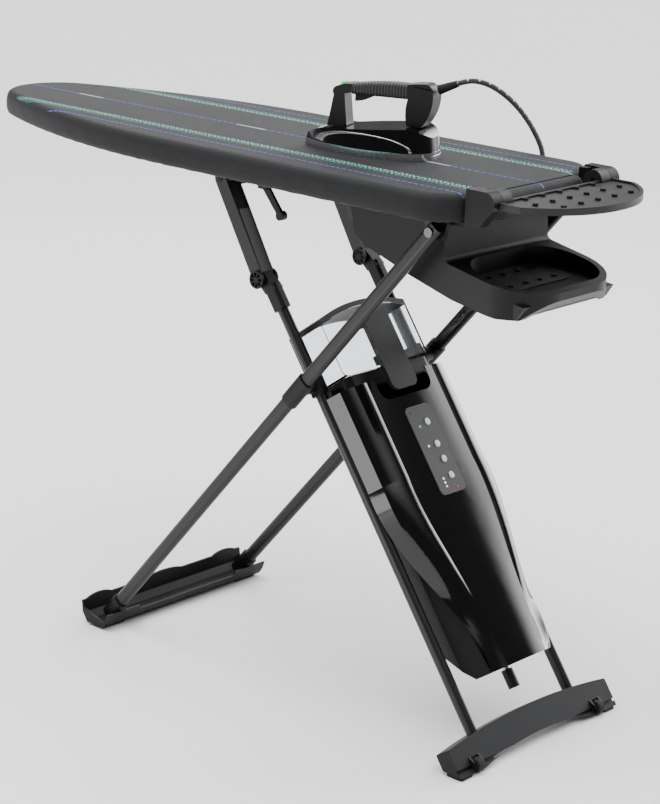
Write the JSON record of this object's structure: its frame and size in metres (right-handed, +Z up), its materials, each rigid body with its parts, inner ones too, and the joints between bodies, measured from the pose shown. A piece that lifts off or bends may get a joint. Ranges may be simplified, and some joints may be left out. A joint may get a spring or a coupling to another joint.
{
  "type": "ironing system with steam generator",
  "caption": "Padded ironing board on a folding X-frame that carries a steam generator with a clear tank, plus a steam iron on a braided cord, a rest plate and a storage bowl.",
  "frame": {"origin": "on the floor under the middle of the whole object, the cord left out", "axes": "+Z up; +X along the board from the nose to the iron rest; Y across the board, the height lever on the -Y side"},
  "size_m": [1.3399, 0.4267, 1.041],
  "materials": {
    "cover_fabric": "printed woven",
    "felt": "felt",
    "frame_paint": "satin",
    "black_plastic": "fine texture",
    "housing_plastic": "fine texture",
    "gloss_black": "gloss",
    "bright_steel": "satin",
    "chrome_trim": "mirror",
    "sole_metal": "satin",
    "boiler_metal": "satin",
    "rubber_black": "matte",
    "tank_clear": "clear",
    "slab_grey": "satin",
    "panel_grey": "satin",
    "button_silver": "satin",
    "rest_grey": "satin",
    "lamp_lens": "gloss",
    "grip_rubber": "ribbed",
    "cord_braid": "braided",
    "mat_silicone": "matte"
  },
  "bodies": {
    "board": {"board_tray": "frame_paint", "felt_pad": "felt", "board_cover": "cover_fabric", "housing_shell": "housing_plastic", "bowl_mat": "mat_silicone", "fan_motor": "black_plastic", "pivot_brackets": "frame_paint", "pivot_pins": "bright_steel", "slide_rails": "bright_steel", "rest_brackets": "black_plastic", "lever_bracket": "black_plastic", "cord_outlet": "black_plastic", "cord_tie": "black_plastic", "cord_coil": "cord_braid", "iron_cord": "cord_braid"},
    "fan": {"fan_impeller": "black_plastic"},
    "rest_plate": {"rest_plate": "rest_grey", "rest_studs": "rubber_black"},
    "height_lever": {"height_lever": "black_plastic"},
    "leg_b": {"leg_b_tubes": "frame_paint", "foot_b": "black_plastic", "foot_b_pads": "rubber_black", "crossing_sleeves": "black_plastic"},
    "leg_a": {"leg_a_tubes": "frame_paint", "leg_a_fittings": "black_plastic", "foot_a": "housing_plastic", "foot_a_pads": "rubber_black", "wheel_axles": "bright_steel", "generator_belly": "housing_plastic", "generator_cover": "gloss_black", "control_panel": "panel_grey", "panel_lamps": "lamp_lens", "boiler": "boiler_metal", "pump": "black_plastic", "tank_seat": "black_plastic", "mains_inlet": "black_plastic", "screws": "bright_steel", "leg_catch": "black_plastic"},
    "drain_cap": {"drain_cap": "black_plastic"},
    "wheel_near": {"wheel_near": "rubber_black"},
    "wheel_far": {"wheel_far": "rubber_black"},
    "tank": {"tank_shell": "tank_clear", "tank_rim": "black_plastic", "tank_handle": "slab_grey", "tank_filter": "black_plastic"},
    "carriage": {"carriage": "black_plastic"},
    "strut": {"struts": "frame_paint", "knee_discs": "black_plastic"},
    "iron": {"iron_soleplate": "sole_metal", "iron_body": "gloss_black", "iron_trim": "chrome_trim", "iron_handle": "housing_plastic", "iron_grip": "grip_rubber", "iron_lamp": "lamp_lens", "iron_strain_relief": "rubber_black"},
    "iron_trigger": {"iron_trigger": "black_plastic"},
    "panel_button_1": {"panel_button_1": "button_silver"},
    "panel_button_2": {"panel_button_2": "button_silver"},
    "panel_button_3": {"panel_button_3": "button_silver"},
    "panel_button_4": {"panel_button_4": "button_silver"}
  },
  "joints": [
    {"name": "leg_b_fold", "type": "hinge", "parent": "board", "child": "leg_b", "pos_m": [0.45, 0, 0.845], "axis": [0, 1, 0], "range_deg": [0, 33]},
    {"name": "leg_a_cross", "type": "hinge", "parent": "leg_b", "child": "leg_a", "pos_m": [0.195, 0, 0.541], "axis": [0, 1, 0], "range_deg": [0, 68.6]},
    {"name": "carriage_slide", "type": "slide", "parent": "board", "child": "carriage", "axis": [1, 0, 0], "range_m": [0, 0.0906]},
    {"name": "strut_swing", "type": "hinge", "parent": "carriage", "child": "strut", "pos_m": [-0.0203, 0, 0.84807], "axis": [0, 1, 0], "range_deg": [-47.3, 0]},
    {"name": "fan_spin", "type": "hinge", "parent": "board", "child": "fan", "pos_m": [0.384, 0, 0.79], "axis": [0, 0, 1], "continuous": true},
    {"name": "rest_plate_flip", "type": "hinge", "parent": "board", "child": "rest_plate", "pos_m": [0.537, 0, 0.9], "axis": [0, -1, 0], "range_deg": [0, 95]},
    {"name": "height_lever_pull", "type": "hinge", "parent": "board", "child": "height_lever", "pos_m": [0.088, -0.15, 0.858], "axis": [0, -1, 0], "range_deg": [0, 20], "stiffness_Nm_per_rad": 0.8, "springref_deg": -11.46},
    {"name": "wheel_near_roll", "type": "hinge", "parent": "leg_a", "child": "wheel_near", "pos_m": [0.592, -0.16, 0.0135], "axis": [0, 1, 0], "continuous": true},
    {"name": "wheel_far_roll", "type": "hinge", "parent": "leg_a", "child": "wheel_far", "pos_m": [0.592, 0.16, 0.0135], "axis": [0, 1, 0], "continuous": true},
    {"name": "drain_cap_turn", "type": "hinge", "parent": "leg_a", "child": "drain_cap", "pos_m": [0.52947, 0, 0.09178], "axis": [-0.585, 0, 0.8111], "continuous": true},
    {"name": "tank_slide", "type": "slide", "parent": "leg_a", "child": "tank", "axis": [-0.585, 0, 0.8111], "range_m": [0, 0.09]},
    {"name": "iron_lift", "type": "slide", "parent": "board", "child": "iron", "axis": [0, 0, 1], "range_m": [0, 0.14]},
    {"name": "iron_trigger_press", "type": "slide", "parent": "iron", "child": "iron_trigger", "axis": [0, 0, 1], "range_m": [0, 0.004], "stiffness_N_per_m": 500, "springref_m": -0.001},
    {"name": "panel_button_1_press", "type": "slide", "parent": "leg_a", "child": "panel_button_1", "axis": [-0.8111, 0, -0.585], "range_m": [0, 0.0012], "stiffness_N_per_m": 400, "springref_m": -0.001},
    {"name": "panel_button_2_press", "type": "slide", "parent": "leg_a", "child": "panel_button_2", "axis": [-0.8111, 0, -0.585], "range_m": [0, 0.0012], "stiffness_N_per_m": 400, "springref_m": -0.001},
    {"name": "panel_button_3_press", "type": "slide", "parent": "leg_a", "child": "panel_button_3", "axis": [-0.8111, 0, -0.585], "range_m": [0, 0.0012], "stiffness_N_per_m": 400, "springref_m": -0.001},
    {"name": "panel_button_4_press", "type": "slide", "parent": "leg_a", "child": "panel_button_4", "axis": [-0.8111, 0, -0.585], "range_m": [0, 0.0012], "stiffness_N_per_m": 400, "springref_m": -0.001}
  ],
  "couplings": [
    {"joint": "leg_a_cross", "follows": "leg_b_fold", "ratio": 2.078},
    {"joint": "carriage_slide", "follows": "leg_b_fold", "m_per_rad": 0.15723},
    {"joint": "strut_swing", "follows": "leg_b_fold", "ratio": -1.4313}
  ]
}
